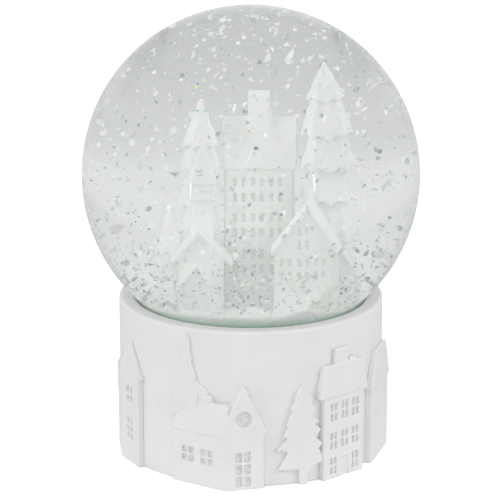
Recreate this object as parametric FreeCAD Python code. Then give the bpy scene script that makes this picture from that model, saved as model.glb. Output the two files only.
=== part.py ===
"""Snow globe: a water-filled glass ball on a drum-shaped base with village reliefs.

Millimetres. +Z is up and the origin is the centre of the bottom face, so the
globe stands on z = 0. Azimuth is measured about Z from the front (-Y), and is
positive towards +X.
"""

import FreeCAD, Part
import math
import os
import random

Vec = FreeCAD.Vector

# ---- driving dimensions -------------------------------------------------------
ball_radius = 50.0            # outside of the glass
glass_wall = 2.0
ball_centre_z = 83.2
neck_radius = 27.0            # outside of the open neck under the ball
neck_bore = 24.5
neck_bottom_z = 35.5
lip_radius = 28.0
lip_height = 2.4

base_radius = 39.5
base_height = 46.9
seat_rim_radius = 35.4        # edge of the cup that the ball sits in
seat_bore = 28.6
rim_round = 1.0
deck_bottom_z = 38.0
cavity_radius = 34.5
rebate_radius = 36.6
rebate_depth = 3.2

stopper_top_z = 47.0
stopper_flange_z = 32.5
cover_thickness = 2.0
pad_thickness = 1.2
fit_gap = 0.1                 # between cast, moulded and blown pieces
glue_gap = 0.05               # film between a relief casting and the drum
sealant_film = 0.4            # silicone between the stopper's flange and the neck's lip

ground_z = 51.4               # top of the snow-covered ground inside the ball
ground_radius = 24.3          # goes in through the neck

low_relief = 0.8              # how far the firs stand off the drum
side_relief = 0.9
house_relief = 1.3
roof_step = 0.35              # how far a roof stands out over its wall
pane_recess = 0.9
low_recess = 0.6              # in the houses that stand off the drum least
pane_thickness = 0.3
glazing_bar = 0.5
window_depth = 1.3            # in the houses inside the ball
flake_count = 150
flake_thickness = 0.12

inner_radius = ball_radius - glass_wall
wall_face = base_radius + glue_gap
house_face = base_radius + house_relief
cup_radius = math.hypot(seat_rim_radius, ball_centre_z - base_height)
bore_top_z = ball_centre_z - math.sqrt(inner_radius ** 2 - neck_bore ** 2)
stopper_ledge_z = bore_top_z - 1.0


# ---- general helpers ------------------------------------------------------------
def turned(edges):
    """A solid of revolution from edges that close a profile in the XZ plane."""
    profile = Part.Face(Part.Wire(edges))
    return profile.revolve(Vec(0, 0, 0), Vec(0, 0, 1), 360)


def line(start, end):
    """A profile edge from (r, z) to (r, z)."""
    return Part.makeLine(Vec(start[0], 0, start[1]), Vec(end[0], 0, end[1]))


def path(points):
    """Straight profile edges through (r, z) points."""
    return [line(a, b) for a, b in zip(points, points[1:])]


def ball_arc(radius, start_r, end_r, low=True):
    """A profile arc about the ball's centre, on its lower or upper half."""
    def point(r):
        height = math.sqrt(radius * radius - r * r)
        return Vec(r, 0, ball_centre_z - height if low else ball_centre_z + height)

    def middle():
        first = math.asin(start_r / radius)
        last = math.asin(end_r / radius)
        angle = (first + last) / 2
        up = -math.cos(angle) if low else math.cos(angle)
        return Vec(radius * math.sin(angle), 0, ball_centre_z + radius * up)

    return Part.Arc(point(start_r), middle(), point(end_r)).toShape()


def ball_z(radius, r):
    """Height of the lower half of a sphere about the ball's centre."""
    return ball_centre_z - math.sqrt(radius * radius - r * r)


def ring(inner, outer, low, high):
    tube = Part.makeCylinder(outer, high - low, Vec(0, 0, low))
    return tube.cut(Part.makeCylinder(inner, high - low, Vec(0, 0, low)))


def largest(shape):
    """The main solid of a shape that a cut may have split."""
    return max(shape.Solids, key=lambda solid: solid.Volume)


def fused(pieces):
    whole = pieces[0]
    if len(pieces) > 1:
        whole = whole.fuse(pieces[1:])
    return whole.removeSplitter()


def prism(points, sweep):
    """A flat outline of Vec points, swept along a vector."""
    return Part.Face(Part.makePolygon(points + points[:1])).extrude(sweep)


def front_prism(outline, front, back):
    """An (x, z) outline, swept from y = front back to y = back."""
    return prism([Vec(x, front, z) for x, z in outline], Vec(0, back - front, 0))


def side_prism(outline, left, right):
    """A (y, z) outline, swept from x = left to x = right."""
    return prism([Vec(left, y, z) for y, z in outline], Vec(right - left, 0, 0))


def block(x, y, z):
    """A box from three (low, high) pairs."""
    return Part.makeBox(x[1] - x[0], y[1] - y[0], z[1] - z[0], Vec(x[0], y[0], z[0]))


def wall_prism(outline, azimuth, near, far):
    """An (s, z) outline on the plane that faces azimuth, s to the right, swept outwards.

    near and far are the sweep's distances from the axis."""
    turn = math.radians(azimuth)
    out = Vec(math.sin(turn), -math.cos(turn), 0)
    along = Vec(math.cos(turn), math.sin(turn), 0)
    points = [out * near + along * s + Vec(0, 0, z) for s, z in outline]
    return prism(points, out * (far - near))


def rectangle(left, right, low, high):
    return [(left, low), (right, low), (right, high), (left, high)]


# ---- glass, liquid and stopper --------------------------------------------------
def glass_globe():
    top_out = (0, ball_centre_z + ball_radius)
    top_in = (0, ball_centre_z + inner_radius)
    lip_top = neck_bottom_z + lip_height
    outside = [
        ball_arc(ball_radius, 0, ball_radius, low=False),
        ball_arc(ball_radius, ball_radius, neck_radius),
        *path([(neck_radius, ball_z(ball_radius, neck_radius)), (neck_radius, lip_top)]),
        Part.Arc(Vec(neck_radius, 0, lip_top),
                 Vec(lip_radius, 0, neck_bottom_z + lip_height / 2),
                 Vec(neck_radius, 0, neck_bottom_z)).toShape(),
    ]
    inside = [
        *path([(neck_radius, neck_bottom_z), (neck_bore, neck_bottom_z),
               (neck_bore, ball_z(inner_radius, neck_bore))]),
        ball_arc(inner_radius, neck_bore, inner_radius),
        ball_arc(inner_radius, inner_radius, 0, low=False),
        line(top_in, top_out),
    ]
    return turned(outside + inside)


def liquid_fill(displaced):
    """Everything inside the glass above the stopper that nothing else takes up."""
    radius = inner_radius - fit_gap / 2
    bore = neck_bore - fit_gap / 2
    bottom = stopper_ledge_z
    water = turned([
        ball_arc(radius, 0, radius, low=False),
        ball_arc(radius, radius, bore),
        *path([(bore, ball_z(radius, bore)), (bore, bottom), (0, bottom),
               (0, ball_centre_z + radius)]),
    ])
    return water.cut(displaced)


def rubber_stopper():
    """A plug in the neck with a flange below it and a standing block for the scene."""
    plug = neck_bore - fit_gap
    flange_top = neck_bottom_z - sealant_film
    return turned(path([
        (0, stopper_flange_z), (lip_radius, stopper_flange_z),
        (lip_radius, flange_top), (plug, flange_top),
        (plug, stopper_ledge_z - fit_gap), (ground_radius, stopper_ledge_z - fit_gap),
        (ground_radius, stopper_top_z), (0, stopper_top_z), (0, stopper_flange_z),
    ]))


def stopper_sealant():
    """The ring of silicone between the stopper's flange and the neck's lip."""
    low = neck_bottom_z - sealant_film + glue_gap
    return ring(neck_bore + fit_gap, neck_radius, low, neck_bottom_z - glue_gap)


def seat_adhesive():
    """The adhesive that beds the ball in its cup and fills the gap round the neck."""
    neck_side = neck_radius + glue_gap
    bore_side = seat_bore - glue_gap
    edge_r = seat_rim_radius - 1.1
    bottom = deck_bottom_z + 0.6
    glass_side = ball_radius + glue_gap
    cup_side = cup_radius - glue_gap
    return turned([
        *path([(bore_side, bottom), (neck_side, bottom), (neck_side, ball_z(glass_side, neck_side))]),
        ball_arc(glass_side, neck_side, edge_r),
        line((edge_r, ball_z(glass_side, edge_r)), (edge_r, ball_z(cup_side, edge_r))),
        ball_arc(cup_side, edge_r, bore_side),
        line((bore_side, ball_z(cup_side, bore_side)), (bore_side, bottom)),
    ])


# ---- base drum --------------------------------------------------------------------
def base_drum():
    """The cast drum: a cup for the ball on top, hollow underneath."""
    edge_z = base_height - rim_round
    outside = [
        *path([(rebate_radius, 0), (base_radius, 0), (base_radius, edge_z)]),
        Part.Arc(Vec(base_radius, 0, edge_z),
                 Vec(base_radius - rim_round * (1 - math.sqrt(0.5)), 0,
                     base_height - rim_round * (1 - math.sqrt(0.5))),
                 Vec(base_radius - rim_round, 0, base_height)).toShape(),
        line((base_radius - rim_round, base_height), (seat_rim_radius, base_height)),
        ball_arc(cup_radius, seat_rim_radius, seat_bore),
    ]
    inside = path([
        (seat_bore, ball_z(cup_radius, seat_bore)), (seat_bore, deck_bottom_z),
        (cavity_radius, deck_bottom_z), (cavity_radius, rebate_depth),
        (rebate_radius, rebate_depth), (rebate_radius, 0),
    ])
    return turned(outside + inside)


def bottom_cover():
    low = rebate_depth - cover_thickness
    return Part.makeCylinder(rebate_radius - 0.2, cover_thickness, Vec(0, 0, low))


def felt_pad():
    return Part.makeCylinder(rebate_radius - 0.5, pad_thickness)


# ---- windows --------------------------------------------------------------------
def panes(left, right, low, high, columns=2, rows=2):
    """The (s, z) outlines of a window's panes, with glazing bars between them."""
    width = (right - left - glazing_bar * (columns - 1)) / columns
    height = (high - low - glazing_bar * (rows - 1)) / rows
    outlines = []
    for column in range(columns):
        for row in range(rows):
            s = left + column * (width + glazing_bar)
            z = low + row * (height + glazing_bar)
            outlines.append(rectangle(s, s + width, z, z + height))
    return outlines


def glazed(wall, outlines, azimuth, face, recess=pane_recess):
    """Cut pane recesses into a wall and return it with the glitter panes that line them."""
    back = face - recess
    recesses = [wall_prism(one, azimuth, back, face + 5) for one in outlines]
    lining = [wall_prism(one, azimuth, back, back + pane_thickness) for one in outlines]
    return wall.cut(recesses), lining


# ---- reliefs on the drum ----------------------------------------------------------
def on_drum(outline, azimuth, face):
    """A slab that follows the drum, with its outline seen square on at azimuth."""
    slab = wall_prism(outline, azimuth, base_radius / 2, face + 5)
    return slab.common(ring(wall_face, face, 0, base_height))


def flat_relief(outline, azimuth, face):
    """A flat-faced slab on the drum, with its outline square to azimuth."""
    slab = wall_prism(outline, azimuth, base_radius / 2, face)
    return slab.cut(Part.makeCylinder(wall_face, base_height))


# the jagged outline of a fir 30 tall, as (s, z)
FIR_HEIGHT = 30.0
FIR_OUTLINE = [(-0.3, FIR_HEIGHT), (-1.7, 28.0), (-2.4, 26.0), (-2.2, 25.2), (-3.5, 23.3),
               (-3.0, 22.4), (-4.0, 20.6), (-4.9, 18.2), (-4.4, 17.6), (-5.8, 15.0),
               (-4.3, 14.5), (-7.7, 10.9), (-6.6, 11.0), (-4.3, 10.2), (-5.0, 8.6),
               (-7.2, 4.9), (-1.1, 4.7), (-0.8, 0.0), (1.7, 0.0), (1.7, 3.4), (3.4, 5.1),
               (4.7, 5.6), (7.2, 6.2), (5.2, 10.4), (6.5, 11.7), (4.2, 13.8), (6.0, 16.1),
               (3.7, 17.9), (5.3, 18.7), (2.9, 20.6), (4.4, 22.8), (2.6, 24.4), (3.3, 25.9),
               (1.5, 27.8)]


def relief_fir(azimuth, height, mirrored=False):
    scale = height / FIR_HEIGHT
    side = -scale if mirrored else scale
    outline = [(s * side, z * scale) for s, z in FIR_OUTLINE]
    return on_drum(outline, azimuth, house_face)


def relief_tall_fir():
    """The slender fir whose lower half stands behind the corner house."""
    outline = [(0, 45.3), (0.9, 43.2), (0.8, 40.6), (1.5, 37.6), (1.4, 36.5), (2.9, 32.4),
               (2.6, 31.6), (6.6, 28.2), (6.6, 20), (-5.6, 20), (-4.6, 27.7), (-3.5, 29.4),
               (-2.7, 35.9), (-1.8, 36.8), (-1.0, 43.8)]
    fir = on_drum(outline, -27.4, base_radius + low_relief)
    return fir.cut(corner_house_mass())


def gabled_outline(width, eave, ridge, overhang):
    """A gable end with eaves that stand out past the walls."""
    half = width / 2
    slope = (ridge - eave) / half
    tip = half + overhang
    tip_z = eave - slope * overhang
    return [(-half, 0), (half, 0), (half, tip_z - 0.2), (tip, tip_z), (0, ridge),
            (-tip, tip_z), (-half, tip_z - 0.2)]


def gable_relief(azimuth, width, eave, ridge, windows):
    """A flat-faced gable on the drum; windows are (left, right, low, high, rows)."""
    wall = flat_relief(gabled_outline(width, eave, ridge, 0.1), azimuth, house_face)
    roof = flat_relief(gabled_outline(width, eave, ridge + 0.6, 1.0), azimuth, wall_face + 0.5)
    outlines = []
    for left, right, low, high, rows in windows:
        outlines.extend(panes(left, right, low, high, rows=rows))
    return glazed(fused([wall, roof]), outlines, azimuth, house_face)


def eaves_house(slab, azimuth, face, size, roof, extras):
    """A house seen from its eaves side: walls, a roof with sloping ends, chimney blocks.

    size is (width, eave, ridge) and roof is (overhang, slope of its ends)."""
    width, eave, ridge = size
    overhang, hip = roof
    half = width / 2
    reach = half + overhang
    wall = slab(rectangle(-half, half, 0, eave), azimuth, face)
    roof_outline = [(-reach, eave - 0.3), (reach, eave - 0.3), (reach - hip, ridge),
                    (hip - reach, ridge)]
    covering = slab(roof_outline, azimuth, face + roof_step)
    return fused([wall, covering] + [slab(rectangle(*extra), azimuth, face) for extra in extras])


def left_gable_house():
    """The tall narrow gable at the left, with a low wing running round the side."""
    azimuth = -61.9
    windows = [(-1.7, 2.2, 18.4, 23.6, 2), (-1.7, 2.2, 7.1, 13.5, 3)]
    gable, lining = gable_relief(azimuth, 12.2, 28.8, 37.2, windows)
    wing_azimuth = azimuth - 19
    wing_walls = on_drum(rectangle(-11, 9.5, 0, 18.5), wing_azimuth, base_radius + 0.5)
    wing_roof = on_drum([(-11.6, 18.2), (9.5, 18.2), (9.5, 25.0), (-9.0, 25.0)], wing_azimuth,
                        base_radius + 0.7)
    wing = fused([wing_walls, wing_roof])
    return fused([gable, wing.cut(gable)]), lining


def townhouse_relief(azimuth):
    """Three storeys of three windows, a door and two chimneys on the ridge."""
    ridge = 34.9
    outlines = []
    for middle in (-4.0, 0.4, 4.6):
        for low, high in ((17.6, 23.2), (9.0, 14.3), (1.3, 6.4)):
            if middle == 0.4 and low < 2:
                continue
            outlines.extend(panes(middle - 1.35, middle + 1.35, low, high))
    chimneys = [(-3.5, 1.5, ridge - 2, 39.5), (2.0, 4.6, ridge - 2, 35.9)]
    house = eaves_house(flat_relief, azimuth, house_face, (15.5, 25.6, ridge), (1.6, 1.9), chimneys)
    house, lining = glazed(house, outlines, azimuth, house_face)
    door = wall_prism(rectangle(-0.7, 1.9, 0, 5.8), azimuth, house_face - 0.5, house_face + 5)
    return house.cut(door), lining


def right_house_relief():
    """A flat-faced house at the right, with one window in its middle."""
    azimuth = 72.0
    face = base_radius + side_relief
    house = eaves_house(flat_relief, azimuth, face, (18.0, 23.2, 34.2), (0.8, 4.6), [])
    return glazed(house, panes(-1.1, 2.5, 9.6, 14.4), azimuth, face, low_recess)


def rear_cottage_relief():
    """A long low cottage that follows the drum, with three windows."""
    azimuth = 236.0
    face = base_radius + side_relief
    chimney = (-6.0, -3.0, 24.0, 29.5)
    house = eaves_house(on_drum, azimuth, face, (21.0, 16.6, 26.0), (1.0, 3.4), [chimney])
    lining = []
    for middle in (-6.0, 0.0, 6.0):
        turn = azimuth + math.degrees(middle / face)
        house, glass = glazed(house, panes(-1.9, 1.9, 6.4, 11.6), turn, face, low_recess)
        lining.extend(glass)
    return house, lining


# ---- the corner house -------------------------------------------------------------
LONG_AZIMUTH = -32.4          # the side that faces left of the front
LONG_FACE = 40.7              # its distance from the axis
GABLE_AZIMUTH = 14.3          # the gable end that faces right of the front
GABLE_FACE = 40.5
GABLE_APEX = (-12.4, 31.7)
LONG_EAVE = 16.5
LONG_RIDGE = 25.4


def corner_house_mass():
    """Walls and roofs of the corner house before its windows are cut."""
    reach = 30.0
    corner_s = 17.3           # where the two walls meet
    walls = wall_prism(rectangle(-1.2, corner_s, 0, LONG_EAVE), LONG_AZIMUTH, reach, LONG_FACE)
    roof_profile = [(LONG_FACE + 0.2, LONG_EAVE - 0.4), (LONG_FACE + 0.2, LONG_EAVE + 0.2),
                    (LONG_FACE - 1.0, LONG_RIDGE), (reach, LONG_RIDGE), (reach, LONG_EAVE - 0.4)]
    roof = long_house_sweep(roof_profile, -1.5, corner_s)
    hip = wall_prism([(-1.6, 16.0), (-1.6, 30.0), (2.0, 30.0), (2.0, LONG_RIDGE)],
                     LONG_AZIMUTH, reach, LONG_FACE + 5)
    chimney = wall_prism(rectangle(3.8, 7.0, 20, 27.9), LONG_AZIMUTH, reach, LONG_FACE - 0.5)
    vent = wall_prism(rectangle(8.6, 11.2, 20, 27.5), LONG_AZIMUTH, reach, LONG_FACE - 0.9)
    apex_s, apex_z = GABLE_APEX
    right_tip = (-5.3, 16.7)
    left_edge = -17.8
    pitch = (apex_z - right_tip[1]) / (right_tip[0] - apex_s)
    left_z = apex_z - pitch * (apex_s - left_edge)
    gable_wall = wall_prism([(left_edge, 0), (-6.4, 0), (-6.4, 16.4), right_tip, GABLE_APEX,
                             (left_edge, left_z)], GABLE_AZIMUTH, reach, GABLE_FACE)
    whole = fused([walls, roof.cut(hip), chimney, vent, gable_wall])
    return whole.cut(Part.makeCylinder(wall_face, base_height))


def long_house_sweep(profile, left, right):
    """A (distance, z) profile, swept along the long side from s = left to s = right."""
    turn = math.radians(LONG_AZIMUTH)
    out = Vec(math.sin(turn), -math.cos(turn), 0)
    along = Vec(math.cos(turn), math.sin(turn), 0)
    points = [out * distance + along * left + Vec(0, 0, z) for distance, z in profile]
    return prism(points, along * (right - left))


def corner_house_relief():
    side_panes = panes(2.1, 6.4, 6.7, 11.4) + panes(8.6, 12.9, 6.7, 11.4)
    house, side_lining = glazed(corner_house_mass(), side_panes, LONG_AZIMUTH, LONG_FACE)
    end_panes = panes(-14.9, -10.3, 0.8, 11.4, columns=2, rows=3)
    house, end_lining = glazed(house, end_panes, GABLE_AZIMUTH, GABLE_FACE)
    turn = math.radians(GABLE_AZIMUTH)
    out = Vec(math.sin(turn), -math.cos(turn), 0)
    along = Vec(math.cos(turn), math.sin(turn), 0)
    centre = along * GABLE_APEX[0] + Vec(0, 0, 21.3) + out * (GABLE_FACE - pane_recess)
    round_window = Part.makeCylinder(2.4, 5, centre, out)
    round_pane = Part.makeCylinder(2.4, pane_thickness, centre, out)
    return house.cut(round_window), side_lining + end_lining + [round_pane]


# ---- the village inside the ball -----------------------------------------------
def snow_bank(x, y, reach, height):
    """A low heap of snow on the ground: the cap of a large sphere."""
    radius = (reach * reach + height * height) / (2 * height)
    return Part.makeSphere(radius, Vec(x, y, ground_z + height - radius))


def village_ground():
    disc = Part.makeCylinder(ground_radius, ground_z - stopper_top_z, Vec(0, 0, stopper_top_z))
    top_edges = [edge for edge in disc.Edges
                 if abs(edge.BoundBox.ZMin - ground_z) < 1e-6 and edge.BoundBox.XLength > 1]
    banks = [snow_bank(-0.5, -10.5, 9.0, 2.7), snow_bank(12.5, -17.0, 6.0, 1.6),
             snow_bank(-19.0, 4.0, 6.5, 1.8), snow_bank(1.0, 19.0, 8.0, 2.2)]
    room = Part.makeCylinder(ground_radius, 20, Vec(0, 0, stopper_top_z))
    heaps = [bank.common(room) for bank in banks]
    return fused([disc.makeFillet(1.4, top_edges), *heaps])


def house_windows(house, centres, rows, pane, front, gap=0.45):
    """Cut pairs of narrow panes, one above the other, into the front at y = front."""
    width, height = pane
    cuts = []
    for x in centres:
        for low in rows:
            for side in (-1, 1):
                middle = x + side * (width + gap) / 2
                cuts.append(block((middle - width / 2, middle + width / 2),
                                  (front - 2, front + window_depth), (low, low + height)))
    return house.cut(cuts)


def gable_roof(left, right, eave, apex, thick, front, back):
    """A pitched roof plate with its ridge running back from the front."""
    outline = [(left, eave), apex, (right, eave), (right - 0.25, eave - thick),
               (apex[0], apex[1] - 1.35 * thick), (left + 0.25, eave - thick)]
    return front_prism(outline, front, back)


def church():
    nave = front_prism([(-17.3, ground_z), (-6.4, ground_z), (-6.4, 66.6), (-12.4, 71.9),
                        (-17.3, 66.0)], -14.0, -1.0)
    nave_roof = gable_roof(-18.8, -4.2, 65.2, (-12.4, 72.9), 0.8, -14.5, -0.6)
    porch = front_prism([(-16.5, ground_z), (-9.7, ground_z), (-9.7, 60.6), (-13.1, 64.2),
                         (-16.5, 60.6)], -17.2, -13.0)
    porch_roof = gable_roof(-17.3, -9.0, 59.7, (-13.1, 65.1), 0.7, -17.6, -13.0)
    tower_x = (-13.7, -8.5)
    tower_y = (-9.0, -3.8)
    tower = block(tower_x, tower_y, (ground_z, 83.4))
    course = block((-14.1, -8.1), (-9.4, -3.4), (79.1, 79.7))
    cornice = block((-14.1, -8.1), (-9.4, -3.4), (83.0, 83.6))
    spire = spike((-11.1, -6.4), 3.1, 83.4, 92.8)
    whole = fused([nave, nave_roof, porch, porch_roof, tower, course, cornice, spire])
    cross_window = [block((x, x + 0.8), (-18, -16.5), (z, z + 0.8))
                    for x in (-13.9, -12.8) for z in (57.8, 58.9)]
    louvres = [block((-11.7, -10.5), (-10, -8.3), (z, z + 1.0)) for z in (75.8, 80.6)]
    return whole.cut(cross_window + louvres)


def spike(centre, half, low, high):
    """A square pyramid, as a spire or a pointed cap."""
    x, y = centre
    corners = [Vec(x - half, y - half, low), Vec(x + half, y - half, low),
               Vec(x + half, y + half, low), Vec(x - half, y + half, low)]
    tip = Vec(x, y, high)
    sides = [Part.Face(Part.makePolygon([a, b, tip, a]))
             for a, b in zip(corners, corners[1:] + corners[:1])]
    floor = Part.Face(Part.makePolygon(corners + corners[:1]))
    return Part.Solid(Part.Shell(sides + [floor]))


def gable_house():
    walls = front_prism([(5.4, ground_z), (19.6, ground_z), (19.6, 67.9), (13.5, 77.7),
                         (5.4, 67.9)], -13.0, -3.0)
    roof = gable_roof(4.5, 20.5, 67.6, (13.5, 79.1), 0.8, -13.7, -2.4)
    house = fused([walls, roof])
    house = house_windows(house, [12.2], [71.5, 68.3], (0.85, 2.0), -13.0, gap=0.95)
    return house_windows(house, [8.1, 12.2, 16.2], [60.9, 64.1], (0.85, 1.9), -13.0, gap=0.95)


def townhouse():
    front = 5.0
    back = 15.0
    left = -5.5
    right = 8.9
    eave = 83.5
    ridge_y = (front + back) / 2
    walls = block((left, right), (front, back), (ground_z, eave))
    roof = side_prism([(front - 0.7, eave - 0.4), (front - 0.7, eave + 0.3), (ridge_y, 93.5),
                       (back + 0.7, eave + 0.3), (back + 0.7, eave - 0.4)], left - 0.5, right + 0.8)
    chimney = block((-0.5, 4.1), (ridge_y - 1.8, ridge_y + 1.8), (88.0, 98.7))
    chimney_step = block((3.6, 4.6), (ridge_y - 1.5, ridge_y + 1.5), (88.0, 95.2))
    dormer = front_prism([(-1.5, 83.4), (3.3, 83.4), (0.9, 87.4)], front - 0.9, front + 2.4)
    house = fused([walls, roof, chimney, chimney_step, dormer])
    storeys = [79.2, 75.8, 71.4, 68.1, 63.6, 60.3]
    return house_windows(house, [-2.5, 1.4, 5.3], storeys, (0.8, 2.0), front, gap=1.0)


def small_house():
    """The low house at the right, behind the gable house."""
    walls = front_prism([(16.6, ground_z), (23.2, ground_z), (23.2, 60.6), (20.4, 65.2),
                         (16.6, 60.6)], -2.2, 4.6)
    roof = gable_roof(16.2, 24.0, 60.4, (20.3, 66.4), 0.8, -2.6, 3.4)
    house = fused([walls, roof])
    return house_windows(house, [21.8], [54.2, 56.4], (0.55, 1.5), -2.2, gap=0.4)


def star(centre, radii, heights):
    """A many-pointed outline about a centre, one point for each radius."""
    step = 2 * math.pi / len(radii)
    return [Vec(centre[0] + r * math.cos(i * step), centre[1] + r * math.sin(i * step), z)
            for i, (r, z) in enumerate(zip(radii, heights))]


def bough_tier(centre, low, high, radii, top_share):
    """One skirt of boughs: a jagged frustum whose tips droop."""
    droop = 0.085 * max(radii)
    edge = [low - droop if i % 2 == 0 else low + droop for i in range(len(radii))]
    under = star(centre, radii, edge)
    over = star(centre, [r * top_share for r in radii], [high] * len(radii))
    hub = Vec(centre[0], centre[1], low + 2 * droop)
    faces = []
    for i in range(len(radii)):
        j = (i + 1) % len(radii)
        for corners in ([under[i], under[j], over[j]], [under[i], over[j], over[i]],
                        [under[j], under[i], hub]):
            faces.append(Part.Face(Part.makePolygon(corners + corners[:1])))
    faces.append(Part.Face(Part.makePolygon(over + over[:1])))
    return Part.Solid(Part.Shell(faces))


def standing_fir(centre, tip_z, tiers, seed, points=9):
    """A fir on the ground; tiers are (bottom z, radius), from the top down."""
    chance = random.Random(seed)
    pieces = [Part.makeCylinder(1.3, tip_z - ground_z - 6, Vec(centre[0], centre[1], ground_z))]
    top = tip_z
    for low, radius in tiers:
        radii = []
        for _ in range(points):
            radii.append(radius * chance.uniform(0.9, 1.0))
            radii.append(radius * chance.uniform(0.76, 0.86))
        share = 0.09 if top == tip_z else 0.46
        pieces.append(bough_tier(centre, low, top, radii, share))
        top = low + 0.2 * (top - low)
    return fused(pieces)


def tall_fir_right():
    tiers = [(99.6, 4.8), (91.4, 6.4), (84.0, 6.9), (76.5, 6.9), (67.5, 6.9), (57.5, 6.9)]
    return standing_fir((16.6, 5.2), 108.1, tiers, seed=3)


def tall_fir_left():
    tiers = [(88.4, 4.3), (83.2, 5.2), (75.2, 5.6), (66.5, 6.2), (57.0, 6.8)]
    return standing_fir((-10.9, 5.6), 98.8, tiers, seed=5)


def small_fir_left():
    tiers = [(72.4, 2.2), (66.4, 3.8), (60.4, 4.9), (54.2, 5.8)]
    fir = standing_fir((-18.1, -5.8), 77.9, tiers, seed=8, points=8)
    return fir.common(Part.makeCylinder(ground_radius - 0.3, ball_radius, Vec(0, 0, ground_z)))


def shrubs():
    """Snow-covered bushes by the houses, each on the ground and clear of the rest."""
    places = [(21.7, -5.6, 2.0), (-3.2, -16.6, 1.3), (3.4, -17.6, 1.1), (-20.0, 8.0, 2.6),
              (8.6, 20.3, 2.3), (-3.0, 20.4, 2.1)]
    half_space = block((-60, 60), (-60, 60), (ground_z, ground_z + 20))
    bushes = []
    for x, y, radius in places:
        ball = Part.makeSphere(radius, Vec(x, y, ground_z + 0.35 * radius))
        bushes.append(ball.common(half_space))
    hedge = front_prism([(12.6, ground_z), (19.0, ground_z), (19.0, 59.4), (17.6, 58.8),
                         (16.4, 56.0), (14.6, 54.8), (13.4, 52.6)], -16.0, -13.2)
    room = Part.makeCylinder(ground_radius - 0.6, 20, Vec(0, 0, ground_z))
    bushes.append(hedge.common(room))
    return bushes


# ---- snow --------------------------------------------------------------------------
def snow_flakes(solid_scene):
    """Glitter platelets, some hanging in the liquid and most of them settled low down."""
    chance = random.Random(11)
    flakes = []
    solids = solid_scene.Solids
    box = solid_scene.BoundBox
    while len(flakes) < flake_count:
        settled = chance.random() < 0.6
        low = 48.5 if settled else 60.0
        high = 60.0 if settled else ball_centre_z + inner_radius - 3
        z = chance.uniform(low, high)
        room = math.sqrt(max(0.0, (inner_radius - 1.5) ** 2 - (z - ball_centre_z) ** 2))
        r = room * math.sqrt(chance.random())
        turn = chance.uniform(0, 2 * math.pi)
        place = Vec(r * math.cos(turn), r * math.sin(turn), z)
        size = chance.uniform(0.35, 0.7)
        tilt = Vec(chance.gauss(0, 1), chance.gauss(0, 1), chance.gauss(0, 1)).normalize()
        if z < ground_z + 2 and r < ground_radius + 2:
            continue
        if any(solid.isInside(place, 0.01, True) for solid in solids):
            continue
        if box.isInside(place) and solid_scene.distToShape(Part.Vertex(place))[0] < 1.2:
            continue
        if any((place - other).Length < 2.2 for other, _ in flakes):
            continue
        flakes.append((place, platelet(place, size, tilt)))
    return [flake for _, flake in flakes]


def platelet(place, size, normal):
    """A thin six-sided chip of glitter."""
    side = normal.cross(Vec(0.3, 0.5, 0.8)).normalize()
    other = normal.cross(side)
    corners = [place + side * (size * math.cos(i * math.pi / 3))
               + other * (size * math.sin(i * math.pi / 3)) for i in range(6)]
    return prism(corners, normal * flake_thickness)


# ---- writing ---------------------------------------------------------------------
def save(name, shape):
    """One STEP for a node; a list of pieces becomes a group of separate solids."""
    whole = Part.makeCompound(shape) if isinstance(shape, list) else shape
    if not whole.isValid():
        raise ValueError(name + " is not a valid shape")
    whole.exportStep(os.path.join("parts", name + ".step"))
    print(f"{name}: {len(whole.Solids)} solid(s), {whole.Volume / 1000:.2f} cm3")


os.makedirs("parts", exist_ok=True)

glitter = []


def save_glazed(name, house_and_lining):
    house, lining = house_and_lining
    glitter.extend(lining)
    save(name, house)


save("glass_globe", glass_globe())
save("rubber_stopper", rubber_stopper())
save("stopper_sealant", stopper_sealant())
save("seat_adhesive", seat_adhesive())
save("base_drum", base_drum())
save("bottom_cover", bottom_cover())
save("felt_pad", felt_pad())

# reliefs round the drum
save_glazed("relief_corner_house", corner_house_relief())
save("relief_tall_fir", relief_tall_fir())
townhouse_front, townhouse_lining = townhouse_relief(41.6)
save("relief_front_fir", largest(relief_fir(21.6, FIR_HEIGHT).cut(townhouse_front)))
save_glazed("relief_townhouse", (townhouse_front, townhouse_lining))
save_glazed("relief_left_gable_house", left_gable_house())
save_glazed("relief_right_house", right_house_relief())
save("relief_rear_fir_right", relief_fir(110.5, 35.0, mirrored=True))
rear_townhouse, rear_lining = townhouse_relief(136)
save_glazed("relief_rear_townhouse", (rear_townhouse, rear_lining))
save("relief_rear_fir_middle", largest(relief_fir(157, FIR_HEIGHT, mirrored=True)
                                       .cut(rear_townhouse)))
rear_windows = [(-2.2, 2.2, 18.6, 24.6, 2), (-2.2, 2.2, 7.4, 15.0, 3)]
save_glazed("relief_rear_gable_house", gable_relief(180, 13.0, 27.0, 38.2, rear_windows))
save("relief_rear_fir_left", relief_fir(204.5, 37.0))
save_glazed("relief_rear_cottage", rear_cottage_relief())
save("window_glitter", glitter)

# the scene inside the ball
ground = village_ground()
houses = {"church": church(), "gable_house": gable_house(), "townhouse": townhouse()}
houses["small_house"] = small_house().cut(houses["gable_house"])
all_houses = Part.makeCompound(list(houses.values()))
firs = {
    "tall_fir_left": largest(tall_fir_left().cut(all_houses)),
    "tall_fir_right": largest(tall_fir_right().cut(all_houses)),
    "small_fir_left": largest(small_fir_left().cut(all_houses)),
}
bushes = [bush.cut(all_houses) for bush in shrubs()]
ground = ground.cut([*houses.values(), *firs.values(), *bushes])
save("village_ground", ground)
for name, piece in (houses | firs).items():
    save(name, piece)
save("snow_shrubs", bushes)

scene = Part.makeCompound([ground, *houses.values(), *firs.values(), *bushes])
flakes = snow_flakes(scene)
save("snow_flakes", flakes)
displaced = [ground, *houses.values(), *firs.values(), *bushes, *flakes, rubber_stopper()]
save("liquid_fill", liquid_fill(displaced))
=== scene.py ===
import math
import random

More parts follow.
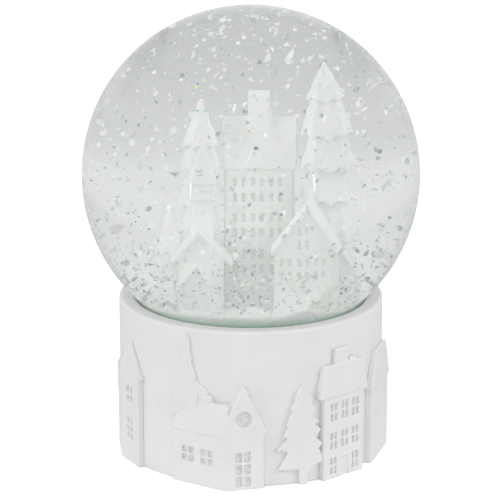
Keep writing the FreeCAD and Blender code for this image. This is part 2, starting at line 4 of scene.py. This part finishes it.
import bmesh
import bpy
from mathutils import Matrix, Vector
from mathutils.bvhtree import BVHTree


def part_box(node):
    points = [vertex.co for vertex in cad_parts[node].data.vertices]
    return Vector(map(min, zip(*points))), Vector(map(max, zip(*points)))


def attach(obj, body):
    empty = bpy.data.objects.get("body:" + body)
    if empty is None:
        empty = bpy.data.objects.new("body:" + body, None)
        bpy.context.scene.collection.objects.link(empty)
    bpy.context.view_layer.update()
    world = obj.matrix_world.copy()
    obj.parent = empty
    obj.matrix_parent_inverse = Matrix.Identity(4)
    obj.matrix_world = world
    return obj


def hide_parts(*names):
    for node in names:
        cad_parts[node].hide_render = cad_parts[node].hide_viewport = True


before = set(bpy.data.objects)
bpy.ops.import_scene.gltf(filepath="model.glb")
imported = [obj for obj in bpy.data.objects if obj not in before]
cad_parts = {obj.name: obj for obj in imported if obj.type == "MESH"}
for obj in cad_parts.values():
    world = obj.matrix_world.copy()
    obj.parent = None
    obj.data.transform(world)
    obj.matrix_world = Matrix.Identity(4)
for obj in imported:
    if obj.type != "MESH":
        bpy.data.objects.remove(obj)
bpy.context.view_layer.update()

MM = 0.001

# ---- places and sizes, from the frame ---------------------------------------------
def box(name):
    """A CAD node's lowest and highest corners."""
    return [Vector(corner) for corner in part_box(name)]


def half_width(name):
    low, high = box(name)
    return (high.x - low.x) / 2


globe_low, globe_high = box("glass_globe")
ground_low, ground_high = box("village_ground")
drum_top = box("base_drum")[1].z
slip = 0.2 * MM               # play round the ground in the neck and the cover in its rebate

ball_radius = half_width("glass_globe")
ball_centre = Vector((0, 0, globe_high.z - ball_radius))
water_radius = box("liquid_fill")[1].z - ball_centre.z
drum_radius = half_width("base_drum")
scene_radius = half_width("village_ground")
neck_bore = scene_radius + slip
neck_radius = half_width("stopper_sealant")
lip_radius = half_width("rubber_stopper")
lip_height = 2.4 * MM
rebate_radius = half_width("bottom_cover") + slip
seat_rim = 35.4 * MM          # edge of the cup in the top of the drum
seat_bore = 28.6 * MM
deck_z = 38.0 * MM            # underside of the drum's top
cavity_radius = 34.5 * MM
rebate_depth = 3.2 * MM


def ball_z(radius, r):
    """Height of the lower half of a sphere about the ball's centre."""
    return ball_centre.z - math.sqrt(radius * radius - r * r)


# ---- meshes ---------------------------------------------------------------------
def new_object(name, bm, material, smooth=True):
    """A piece of the globe, made from a bmesh, which it uses up."""
    mesh = bpy.data.meshes.new(name)
    bm.normal_update()
    bm.to_mesh(mesh)
    bm.free()
    for face in mesh.polygons:
        face.use_smooth = smooth
    piece = bpy.data.objects.new(name, mesh)
    bpy.context.scene.collection.objects.link(piece)
    mesh.materials.append(material)
    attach(piece, "root")
    return piece


def lathe(profile, segments, closed=True):
    """A bmesh turned from (r, z) points; a point at r = 0 becomes a pole."""
    bm = bmesh.new()
    rows = []
    for r, z in profile:
        if r < 1e-9:
            rows.append([bm.verts.new((0, 0, z))])
        else:
            rows.append([bm.verts.new((r * math.cos(2 * math.pi * i / segments),
                                       r * math.sin(2 * math.pi * i / segments), z))
                         for i in range(segments)])
    pairs = list(zip(rows, rows[1:]))
    if closed:
        pairs.append((rows[-1], rows[0]))
    for a, b in pairs:
        for i in range(segments):
            j = (i + 1) % segments
            if len(a) == 1 and len(b) == 1:
                break
            if len(a) == 1:
                bm.faces.new((a[0], b[j], b[i]))
            elif len(b) == 1:
                bm.faces.new((a[i], a[j], b[0]))
            else:
                bm.faces.new((a[i], a[j], b[j], b[i]))
    bmesh.ops.recalc_face_normals(bm, faces=bm.faces)
    return bm


def ball_points(radius, start_r, end_r, count, upper=False):
    """Profile points on a sphere about the ball's centre."""
    first = math.asin(start_r / radius)
    last = math.asin(end_r / radius)
    points = []
    for i in range(count + 1):
        angle = first + (last - first) * i / count
        up = math.cos(angle) if upper else -math.cos(angle)
        points.append((radius * math.sin(angle), ball_centre.z + radius * up))
    return points


def corner_points(centre, radius, start, end, count):
    """Profile points on a rounded edge; angles in degrees from +r towards +z."""
    points = []
    for i in range(count + 1):
        angle = math.radians(start + (end - start) * i / count)
        points.append((centre[0] + radius * math.cos(angle), centre[1] + radius * math.sin(angle)))
    return points


# ---- materials ------------------------------------------------------------------
def material(name):
    """A new node material, its tree and its shader."""
    made = bpy.data.materials.new(name)
    made.use_nodes = True
    tree = made.node_tree
    shader = tree.nodes["Principled BSDF"]
    return made, tree, shader


def node(tree, kind, **values):
    """A new node, with its properties and its unlinked inputs set by name."""
    made = tree.nodes.new(kind)
    for key, value in values.items():
        if hasattr(made, key):
            setattr(made, key, value)
        else:
            made.inputs[key.replace("_", " ")].default_value = value
    return made


def noise(tree, scale, detail=4.0, roughness=0.55):
    """Noise over the object's own coordinates, in metres."""
    place = tree.nodes.new("ShaderNodeTexCoord")
    made = node(tree, "ShaderNodeTexNoise", Scale=scale, Detail=detail, Roughness=roughness)
    tree.links.new(place.outputs["Object"], made.inputs["Vector"])
    return made


def ramp(tree, source, stops):
    """A colour ramp over (position, colour) stops."""
    made = tree.nodes.new("ShaderNodeValToRGB")
    elements = made.color_ramp.elements
    while len(elements) < len(stops):
        elements.new(0.5)
    for element, (position, colour) in zip(elements, stops):
        element.position = position
        element.color = (*colour, 1.0)
    tree.links.new(source, made.inputs["Fac"])
    return made


def span(tree, source, low, high, start=0.0, end=1.0):
    """A value from start to end mapped to a range from low to high."""
    made = node(tree, "ShaderNodeMapRange", From_Min=start, From_Max=end, To_Min=low, To_Max=high)
    tree.links.new(source, made.inputs["Value"])
    return made


def bump(tree, shader, height, distance, strength):
    """A bump of the given height in metres, linked to the shader."""
    made = node(tree, "ShaderNodeBump", Strength=strength, Distance=distance)
    tree.links.new(height, made.inputs["Height"])
    tree.links.new(made.outputs["Normal"], shader.inputs["Normal"])


def paint_own_light(tree, shader, colour, strength):
    """Painted light: a glow of the surface's own colour, standing in for light the ball scatters
    onto it.
    """
    if strength:
        tree.links.new(colour.outputs["Color"], shader.inputs["Emission Color"])
        shader.inputs["Emission Strength"].default_value = strength


def cast_resin(name, light, dark, roughness, painted_glow=0.0):
    """Matte white casting resin: a faint mottle, tiny pits and a soft surface; glow is the
    strength of a painted glow of its own colour.
    """
    made, tree, shader = material(name)
    mottle = noise(tree, 160.0, 5.0)
    colour = ramp(tree, mottle.outputs["Fac"], [(0.3, dark), (0.7, light)])
    tree.links.new(colour.outputs["Color"], shader.inputs["Base Color"])
    grain = noise(tree, 900.0, 3.0)
    rough = span(tree, grain.outputs["Fac"], roughness - 0.06, roughness + 0.08)
    tree.links.new(rough.outputs["Result"], shader.inputs["Roughness"])
    swell = noise(tree, 420.0, 6.0, 0.6)
    bump(tree, shader, swell.outputs["Fac"], 0.06 * MM, 0.6)
    shader.inputs["Specular IOR Level"].default_value = 0.35
    paint_own_light(tree, shader, colour, painted_glow)
    return made


def clear_glass(name, tint, ior):
    """Clear glass that lets the lamps' light straight through to the village."""
    made, tree, shader = material(name)
    wave = noise(tree, 30.0, 1.0)
    colour = ramp(tree, wave.outputs["Fac"], [(0.35, tint), (0.65, [c * 0.995 for c in tint])])
    tree.links.new(colour.outputs["Color"], shader.inputs["Base Color"])
    shader.inputs["Roughness"].default_value = 0.0
    shader.inputs["IOR"].default_value = ior
    shader.inputs["Transmission Weight"].default_value = 1.0
    path = tree.nodes.new("ShaderNodeLightPath")
    clear = tree.nodes.new("ShaderNodeBsdfTransparent")
    mix = tree.nodes.new("ShaderNodeMixShader")
    tree.links.new(path.outputs["Is Shadow Ray"], mix.inputs["Fac"])
    tree.links.new(shader.outputs["BSDF"], mix.inputs[1])
    tree.links.new(clear.outputs["BSDF"], mix.inputs[2])
    tree.links.new(mix.outputs["Shader"], tree.nodes["Material Output"].inputs["Surface"])
    return made


def glitter(name, colours, metal, roughness, painted_chip_light=0.0):
    """Foil chips: each chip takes one of the colours and its own roughness; lustre is the strength
    of a painted glow of the chip's own colour.
    """
    made, tree, shader = material(name)
    own = tree.nodes.new("ShaderNodeNewGeometry")
    stops = [(i / len(colours), colour) for i, colour in enumerate(colours)]
    colour = ramp(tree, own.outputs["Random Per Island"], stops)
    colour.color_ramp.interpolation = "CONSTANT"
    tree.links.new(colour.outputs["Color"], shader.inputs["Base Color"])
    rough = span(tree, own.outputs["Random Per Island"], roughness, roughness + 0.12)
    tree.links.new(rough.outputs["Result"], shader.inputs["Roughness"])
    shader.inputs["Metallic"].default_value = metal
    paint_own_light(tree, shader, colour, painted_chip_light)
    return made


def window_foil():
    """Silver glitter in a dark lacquer: a mosaic of tiny tilted facets."""
    made, tree, shader = material("window_foil")
    place = tree.nodes.new("ShaderNodeTexCoord")
    facets = node(tree, "ShaderNodeTexVoronoi", Scale=3200.0)
    tree.links.new(place.outputs["Object"], facets.inputs["Vector"])
    shade = tree.nodes.new("ShaderNodeSeparateColor")
    tree.links.new(facets.outputs["Color"], shade.inputs["Color"])
    colour = ramp(tree, shade.outputs["Red"], [
        (0.0, (0.6, 0.61, 0.62)), (0.25, (0.69, 0.7, 0.71)),
        (0.65, (0.76, 0.77, 0.78)), (0.92, (0.88, 0.89, 0.9))])
    tree.links.new(colour.outputs["Color"], shader.inputs["Base Color"])
    shader.inputs["Metallic"].default_value = 0.2
    rough = span(tree, shade.outputs["Green"], 0.15, 0.5)
    tree.links.new(rough.outputs["Result"], shader.inputs["Roughness"])
    bump(tree, shader, shade.outputs["Blue"], 0.1 * MM, 0.6)
    return made


def plain_rough(name, light, dark, scale, roughness, depth, painted_glow=0.0):
    """A rough finish of one fine grain; depth is its bump's height, and glow the strength of a
    painted glow of its own colour.
    """
    made, tree, shader = material(name)
    grain = noise(tree, scale, 6.0, 0.65)
    colour = ramp(tree, grain.outputs["Fac"], [(0.3, dark), (0.7, light)])
    tree.links.new(colour.outputs["Color"], shader.inputs["Base Color"])
    rough = span(tree, grain.outputs["Fac"], roughness - 0.08, roughness + 0.08)
    tree.links.new(rough.outputs["Result"], shader.inputs["Roughness"])
    bump(tree, shader, grain.outputs["Fac"], depth, 0.7)
    paint_own_light(tree, shader, colour, painted_glow)
    return made


def painted_shade_by_height(made, tint, low, high):
    """Painted shade: blends a material's own colour, at z = low, into the shade colour tint, at z
    = high.
    """
    tree = made.node_tree
    shader = tree.nodes["Principled BSDF"]
    own = shader.inputs["Base Color"].links[0].from_socket
    place = tree.nodes.new("ShaderNodeTexCoord")
    split = tree.nodes.new("ShaderNodeSeparateXYZ")
    tree.links.new(place.outputs["Object"], split.inputs["Vector"])
    height = span(tree, split.outputs["Z"], 0.0, 1.0, low, high)
    tone = node(tree, "ShaderNodeMix", data_type="RGBA")
    tree.links.new(height.outputs["Result"], tone.inputs["Factor"])
    tree.links.new(own, tone.inputs[6])
    tone.inputs[7].default_value = (*tint, 1.0)
    tree.links.new(tone.outputs[2], shader.inputs["Base Color"])
    return made


GLASS_INDEX = 1.5
LIQUID_INDEX = 1.34
VILLAGE_WHITE = ((0.885, 0.89, 0.88), (0.85, 0.86, 0.845))

resin = cast_resin("resin", (0.79, 0.79, 0.785), (0.76, 0.76, 0.755), 0.55)
# painted light: the village resin glows a little in its own colour, to lift its shade
village_resin_painted_light = cast_resin("village_resin_painted_light", *VILLAGE_WHITE, 0.5, 0.1)
glass = clear_glass("glass", (0.965, 0.98, 0.968), GLASS_INDEX)
wet_glass = clear_glass("wet_glass", (0.99, 0.995, 0.99), GLASS_INDEX / LIQUID_INDEX)
foil = window_foil()
# painted light: the snowy twigs glow a little in their own colour
snowy_twigs_painted_light = plain_rough("snowy_twigs_painted_light", (0.92, 0.93, 0.91), (0.78, 0.81, 0.75), 700.0, 0.6,
                          0.2 * MM, 0.1)
rubber = plain_rough("rubber", (0.74, 0.74, 0.72), (0.68, 0.68, 0.66), 300.0, 0.6, 0.08 * MM)
silicone = plain_rough("silicone", (0.66, 0.69, 0.68), (0.6, 0.63, 0.62), 220.0, 0.35, 0.06 * MM)
adhesive = plain_rough("adhesive", (0.78, 0.84, 0.79), (0.72, 0.79, 0.74), 260.0, 0.3, 0.06 * MM)
board = plain_rough("board", (0.42, 0.41, 0.39), (0.33, 0.32, 0.3), 900.0, 0.85, 0.1 * MM)
felt = plain_rough("felt", (0.2, 0.205, 0.21), (0.1, 0.105, 0.11), 2600.0, 0.95, 0.3 * MM)

# painted shade: below the snow the ground, and the glue's rim, are painted dark green for the dim
# light in the ditch round the ground and the green of the thick glass it is seen through; the
# ground also has a painted glow
ground_resin_painted_shade_and_light = cast_resin("ground_resin_painted_shade_and_light", *VILLAGE_WHITE, 0.5, 0.08)
painted_shade_by_height(ground_resin_painted_shade_and_light, (0.34, 0.52, 0.43), 51.4 * MM, 47.0 * MM)
# painted shade: the glue darkens to green towards its rim
painted_shade_by_height(adhesive, (0.3, 0.43, 0.36), 44.0 * MM, 46.4 * MM)


# ---- CAD castings, softened ----------------------------------------------------------
HOUSES = ("church", "gable_house", "townhouse", "small_house")
FIRS = ("tall_fir_left", "tall_fir_right", "small_fir_left")
UNEVEN_SCALE = 1.6 * MM       # size of the cloud texture that the swell follows


def finish_node(name, finish):
    """Gives a CAD node its material, and returns the node."""
    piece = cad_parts[name]
    piece.data.materials.clear()
    piece.data.materials.append(finish)
    return piece


def soften(name, finish, grain, rounds, swell, spread=0.0):
    """Gives a CAD casting the soft edges and faint unevenness of cast resin.

    grain, swell and spread are in metres: the remesh, the depth of the unevenness,
    and what the surface is moved out again after the smoothing.
    """
    piece = finish_node(name, finish)
    remesh = piece.modifiers.new("cast", "REMESH")
    remesh.mode = "VOXEL"
    remesh.voxel_size = grain
    remesh.use_smooth_shade = True
    smooth = piece.modifiers.new("round", "SMOOTH")
    smooth.factor = 0.5
    smooth.iterations = rounds
    if spread:
        grow = piece.modifiers.new("spread", "DISPLACE")
        grow.strength = spread
        grow.mid_level = 0.0
    if swell:
        clouds = bpy.data.textures.new(name + "_clouds", "CLOUDS")
        clouds.noise_scale = UNEVEN_SCALE
        uneven = piece.modifiers.new("uneven", "DISPLACE")
        uneven.texture = clouds
        uneven.texture_coords = "LOCAL"
        uneven.strength = swell
        uneven.mid_level = 0.5


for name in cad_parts:
    if name.startswith("relief_"):
        soften(name, resin, 0.22 * MM, 3, 0.0, 0.1 * MM)
for name in HOUSES:
    soften(name, village_resin_painted_light, 0.2 * MM, 2, 0.06 * MM)
for name in FIRS:
    soften(name, village_resin_painted_light, 0.22 * MM, 4, 0.7 * MM)
soften("village_ground", ground_resin_painted_shade_and_light, 0.3 * MM, 3, 0.8 * MM)
soften("snow_shrubs", snowy_twigs_painted_light, 0.2 * MM, 3, 1.2 * MM)


for name, finish in (("window_glitter", foil), ("rubber_stopper", rubber),
                     ("stopper_sealant", silicone), ("seat_adhesive", adhesive),
                     ("bottom_cover", board), ("felt_pad", felt)):
    finish_node(name, finish)


# ---- glass ball --------------------------------------------------------------------
def make_glass():
    """The blown ball and neck; its inner faces are wetted by the liquid."""
    bottom = globe_low.z
    lip = lip_radius - neck_radius
    bore_top = ball_z(water_radius, neck_bore)
    outer = ball_points(ball_radius, 0, ball_radius, 90, upper=True)
    outer += ball_points(ball_radius, ball_radius, neck_radius, 60)[1:]
    outer += [(neck_radius, bottom + lip_height)]
    for i in range(1, 9):
        angle = math.pi * i / 8
        outer.append((neck_radius + lip * math.sin(angle),
                      bottom + lip_height / 2 * (1 + math.cos(angle))))
    inner = [(neck_bore, bottom), (neck_bore, bore_top)]
    inner += ball_points(water_radius, neck_bore, water_radius, 60)[1:]
    inner += ball_points(water_radius, water_radius, 0, 90, upper=True)[1:]
    bm = lathe(outer + inner, 256, closed=False)
    for face in bm.faces:
        middle = face.calc_center_median()
        in_ball = (middle - ball_centre).length < water_radius + 0.3 * MM and middle.z > bore_top
        in_neck = math.hypot(middle.x, middle.y) < neck_bore + slip and middle.z < ground_low.z
        face.material_index = 1 if in_ball or in_neck else 0
    piece = new_object("glass_ball", bm, glass)
    piece.data.materials.append(wet_glass)
    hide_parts("glass_globe", "liquid_fill")


# ---- drum ------------------------------------------------------------------------
def make_drum():
    """The cast drum, with softly rounded rim and foot and a barely uneven wall."""
    cup = math.hypot(seat_rim, ball_centre.z - drum_top)
    rim = 1.0 * MM
    foot = 0.35 * MM
    profile = [(rebate_radius, 0)]
    profile += corner_points((drum_radius - foot, foot), foot, -90, 0, 5)
    profile += [(drum_radius, foot + (drum_top - rim - foot) * i / 60) for i in range(1, 60)]
    profile += corner_points((drum_radius - rim, drum_top - rim), rim, 0, 90, 10)
    profile += corner_points((seat_rim + 0.4 * MM, drum_top - 0.4 * MM), 0.4 * MM, 90, 150, 5)
    profile += ball_points(cup, seat_rim - 0.15 * MM, seat_bore, 12)
    profile += [(seat_bore, deck_z), (cavity_radius, deck_z), (cavity_radius, rebate_depth),
                (rebate_radius, rebate_depth)]
    piece = new_object("drum", lathe(profile, 360), resin)
    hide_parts("base_drum")


make_glass()
make_drum()


# ---- glitter snow ----------------------------------------------------------------------
UP = Vector((0, 0, 1))
CHIP_THICKNESS = 0.03 * MM
CHIP_CURL = 0.12              # of the chip's size


def solid_scene():
    """A search tree over the castings inside the ball."""
    depsgraph = bpy.context.evaluated_depsgraph_get()
    points = []
    faces = []
    for name in HOUSES + FIRS + ("village_ground", "snow_shrubs"):
        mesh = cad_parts[name].evaluated_get(depsgraph).to_mesh()
        start = len(points)
        points += [vertex.co.copy() for vertex in mesh.vertices]
        faces += [[start + i for i in face.vertices] for face in mesh.polygons]
    return BVHTree.FromPolygons(points, faces)


def inside(castings, place):
    """True where a ray straight up crosses the castings an odd number of times."""
    crossings = 0
    start = place
    hit = castings.ray_cast(start, UP)[0]
    while hit is not None and crossings < 60:
        crossings += 1
        start = hit + UP * 1e-6
        hit = castings.ray_cast(start, UP)[0]
    return crossings % 2 == 1


def chip(bm, chance, place, size, normal):
    """One flake: a thin, slightly curled, irregular many-sided foil."""
    side = normal.orthogonal().normalized()
    other = normal.cross(side)
    corners = chance.choice((4, 5, 6, 6))
    turn = chance.uniform(0, 6.28)
    stretch = chance.uniform(0.65, 1.0)
    rings = []
    for level in (-0.5, 0.5):
        ring = []
        for i in range(corners):
            angle = turn + 2 * math.pi * i / corners
            reach = size * (0.85 + 0.15 * math.sin(3.1 * i + turn))
            offset = side * (reach * math.cos(angle)) + other * (reach * stretch * math.sin(angle))
            curl = normal * (level * CHIP_THICKNESS + CHIP_CURL * size * math.cos(2 * angle))
            ring.append(bm.verts.new(place + offset + curl))
        rings.append(ring)
    low, high = rings
    bm.faces.new(list(reversed(low)))
    bm.faces.new(high)
    for i in range(corners):
        j = (i + 1) % corners
        bm.faces.new((low[i], low[j], high[j], high[i]))


def level_reach(z, margin):
    """Radius of the liquid at a height, less a margin along the ball's own radius."""
    return math.sqrt(max(0.0, (water_radius - margin) ** 2 - (z - ball_centre.z) ** 2))


def on_disc(chance, reach, z):
    """An even draw over a level disc."""
    r = reach * math.sqrt(chance.random())
    turn = chance.uniform(0, 2 * math.pi)
    return Vector((r * math.cos(turn), r * math.sin(turn), z))


def drifting(chance):
    """A place in the liquid, likelier low down."""
    while True:
        z = ball_centre.z + water_radius * chance.uniform(-0.72, 0.97)
        height = (z - ground_high.z) / (globe_high.z - ground_high.z)
        if chance.random() <= 1.15 - 0.5 * height:
            return on_disc(chance, level_reach(z, 1.2 * MM), z)


def low_drift(chance):
    """A place just above the ground or the edge of the ditch round it."""
    z = ground_high.z + abs(chance.gauss(0, 8.0 * MM)) - 1.5 * MM
    return on_disc(chance, 0.84 * level_reach(z, 1.0 * MM), z)


def scatter(name, finish, count, seed, sizes, where, castings):
    """One piece of loose flakes, each clear of the castings and not under the ground."""
    chance = random.Random(seed)
    bm = bmesh.new()
    made = 0
    while made < count:
        place = where(chance)
        size = chance.uniform(*sizes) * MM
        nearest = castings.find_nearest(place)[0]
        if (nearest - place).length < size * 1.1:
            continue
        if math.hypot(place.x, place.y) < scene_radius and place.z < ground_high.z:
            continue
        if inside(castings, place):
            continue
        normal = Vector((chance.gauss(0, 1), chance.gauss(0, 1), chance.gauss(0, 1))).normalized()
        chip(bm, chance, place, size, normal)
        made += 1
    bmesh.ops.recalc_face_normals(bm, faces=bm.faces)
    piece = new_object(name, bm, finish, smooth=False)
    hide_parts("snow_flakes")


# painted light: each kind of chip glows a little in its own colours, as painted sparkle
pearl = glitter("pearl_chips", [(0.86, 0.87, 0.88), (0.79, 0.8, 0.9), (0.93, 0.94, 0.92),
                                (0.78, 0.86, 0.83), (0.88, 0.84, 0.9), (0.95, 0.96, 0.96)],
                0.0, 0.25, 0.12)
dusk = glitter("dusk_chips", [(0.48, 0.57, 0.57), (0.58, 0.64, 0.63), (0.51, 0.57, 0.63),
                              (0.54, 0.63, 0.59), (0.38, 0.48, 0.48), (0.62, 0.67, 0.66)],
               0.0, 0.35, 0.12)
low_dusk = glitter("low_dusk_chips", [(0.5, 0.57, 0.56), (0.42, 0.52, 0.49), (0.58, 0.64, 0.62),
                                      (0.36, 0.45, 0.45), (0.53, 0.6, 0.57), (0.62, 0.66, 0.64)],
                   0.0, 0.35, 0.16)
spark = glitter("spark_chips", [(0.2, 0.75, 0.45), (0.25, 0.5, 0.8), (0.8, 0.5, 0.35),
                                (0.65, 0.7, 0.35), (0.5, 0.42, 0.8)], 0.4, 0.15, 0.3)
castings = solid_scene()
for name, finish, count, seed, sizes, where in (
        ("pearl_flakes", pearl, 1200, 21, (0.4, 1.15), drifting),
        ("dusk_flakes", dusk, 380, 22, (0.35, 0.95), drifting),
        ("spark_flakes", spark, 26, 23, (0.3, 0.55), drifting),
        ("low_pearl_flakes", pearl, 520, 24, (0.25, 0.7), low_drift),
        ("low_dusk_flakes", low_dusk, 640, 25, (0.3, 0.75), low_drift),
        ("low_spark_flakes", spark, 24, 26, (0.25, 0.5), low_drift)):
    scatter(name, finish, count, seed, sizes, where, castings)


# ---- stage, light, camera -------------------------------------------------------------
FLOOR_SEEN = (1.0, 1.0, 1.0)  # a white sweep
FLOOR_LIFT = 0.25             # its own light, so that no shadow shows on it
# tones of the floor that light the object and show in the ball, over the distance in metres; the
# grey dip at 0.1 m is painted shade round the object
FLOOR_TONES = [(0.05, (0.8, 0.8, 0.8)), (0.1, (0.47, 0.475, 0.465)),
               (0.34, (0.78, 0.785, 0.78)), (1.0, (0.86, 0.865, 0.86))]
# painted shade: the tones are darkened to this share where the front lamp lights the floor, to
# hold back its pool of light
FLOOR_FRONT = 0.45            # of those tones, where the front lamp lights the floor
FRONT_BAND = (-0.7, -0.2)     # y over which they fall to that
# tones of the studio over the sine of the elevation, and their strength over y
SKY = [(0.0, (0.585, 0.59, 0.585)), (0.2, (0.62, 0.625, 0.62)), (0.42, (0.62, 0.625, 0.62)),
       (0.68, (0.88, 0.88, 0.88)), (1.0, (1.0, 1.0, 1.0))]
SKY_FRONT = 0.72
SKY_BACK = 1.33
SKY_BAND = (-0.6, 0.5)
CAMERA_PLACE = (-0.00025, -0.6685, 0.2508)
CAMERA_PITCH = 15.94          # degrees down
LENS = 167.6                  # millimetres, on a 36 mm sensor


def make_floor():
    bm = bmesh.new()
    bmesh.ops.create_grid(bm, x_segments=1, y_segments=1, size=6.0)
    mesh = bpy.data.meshes.new("floor")
    bm.to_mesh(mesh)
    bm.free()
    floor = bpy.data.objects.new("floor", mesh)
    bpy.context.scene.collection.objects.link(floor)
    made, tree, shader = material("floor")
    path = tree.nodes.new("ShaderNodeLightPath")
    place = tree.nodes.new("ShaderNodeTexCoord")
    reach = node(tree, "ShaderNodeVectorMath", operation="LENGTH")
    tree.links.new(place.outputs["Object"], reach.inputs[0])
    # painted shade: the floor's bounce tones, grey round the object and darker where the front
    # lamp falls
    bounce = ramp(tree, reach.outputs["Value"], FLOOR_TONES)
    split = tree.nodes.new("ShaderNodeSeparateXYZ")
    tree.links.new(place.outputs["Object"], split.inputs["Vector"])
    front = span(tree, split.outputs["Y"], FLOOR_FRONT, 1.0, *FRONT_BAND)
    shade = node(tree, "ShaderNodeVectorMath", operation="SCALE")
    tree.links.new(bounce.outputs["Color"], shade.inputs[0])
    tree.links.new(front.outputs["Result"], shade.inputs["Scale"])
    tone = node(tree, "ShaderNodeMix", data_type="RGBA")
    tree.links.new(path.outputs["Is Camera Ray"], tone.inputs["Factor"])
    tree.links.new(shade.outputs["Vector"], tone.inputs[6])
    tone.inputs[7].default_value = (*FLOOR_SEEN, 1.0)
    tree.links.new(tone.outputs[2], shader.inputs["Base Color"])
    shader.inputs["Emission Color"].default_value = (1, 1, 1, 1)
    lift = span(tree, path.outputs["Is Camera Ray"], 0.0, FLOOR_LIFT)
    tree.links.new(lift.outputs["Result"], shader.inputs["Emission Strength"])
    shader.inputs["Roughness"].default_value = 0.9
    mesh.materials.append(made)


def area_light(name, place, target, size, power, mirrored):
    """A lamp that lights the object, or one that only its gloss mirrors."""
    lamp = bpy.data.lights.new(name, "AREA")
    lamp.shape = "RECTANGLE"
    lamp.size, lamp.size_y = size
    lamp.energy = power
    lit = bpy.data.objects.new(name, lamp)
    bpy.context.scene.collection.objects.link(lit)
    lit.location = place
    lit.rotation_euler = (Vector(target) - Vector(place)).to_track_quat("-Z", "Y").to_euler()
    lit.visible_glossy = mirrored
    lit.visible_diffuse = not mirrored
    lit.visible_transmission = False


def make_world():
    world = bpy.data.worlds.new("studio")
    world.use_nodes = True
    tree = world.node_tree
    back = tree.nodes["Background"]
    way = tree.nodes.new("ShaderNodeTexCoord")
    split = tree.nodes.new("ShaderNodeSeparateXYZ")
    tree.links.new(way.outputs["Generated"], split.inputs["Vector"])
    sky = ramp(tree, split.outputs["Z"], SKY)
    tree.links.new(sky.outputs["Color"], back.inputs["Color"])
    front = span(tree, split.outputs["Y"], SKY_FRONT, SKY_BACK, *SKY_BAND)
    tree.links.new(front.outputs["Result"], back.inputs["Strength"])
    bpy.context.scene.world = world


def make_camera():
    lens = bpy.data.cameras.new("camera")
    lens.sensor_width = 36.0
    lens.lens = LENS
    camera = bpy.data.objects.new("camera", lens)
    camera.location = CAMERA_PLACE
    camera.rotation_euler = (math.radians(90 - CAMERA_PITCH), 0, 0)
    bpy.context.scene.collection.objects.link(camera)
    bpy.context.scene.camera = camera


make_floor()
for name, place, aim_z, size, power, mirrored in (
        ("key_left", (-0.85, -0.4, 0.45), 0.07, (0.35, 0.7), 2.5, False),
        ("key_right", (0.85, -0.4, 0.45), 0.07, (0.35, 0.7), 2.45, False),
        ("front", (0, -0.98, 0.32), 0.07, (0.6, 0.5), 2.45, False),
        ("strip_left", (-0.597, -0.735, 0.107), 0.107, (0.01, 0.13), 0.065, True),
        ("strip_right", (0.622, -0.7, 0.18), 0.18, (0.01, 0.16), 0.09, True)):
    area_light(name, place, (0, 0, aim_z), size, power, mirrored)
make_world()
make_camera()
bpy.context.scene.view_settings.view_transform = "Standard"
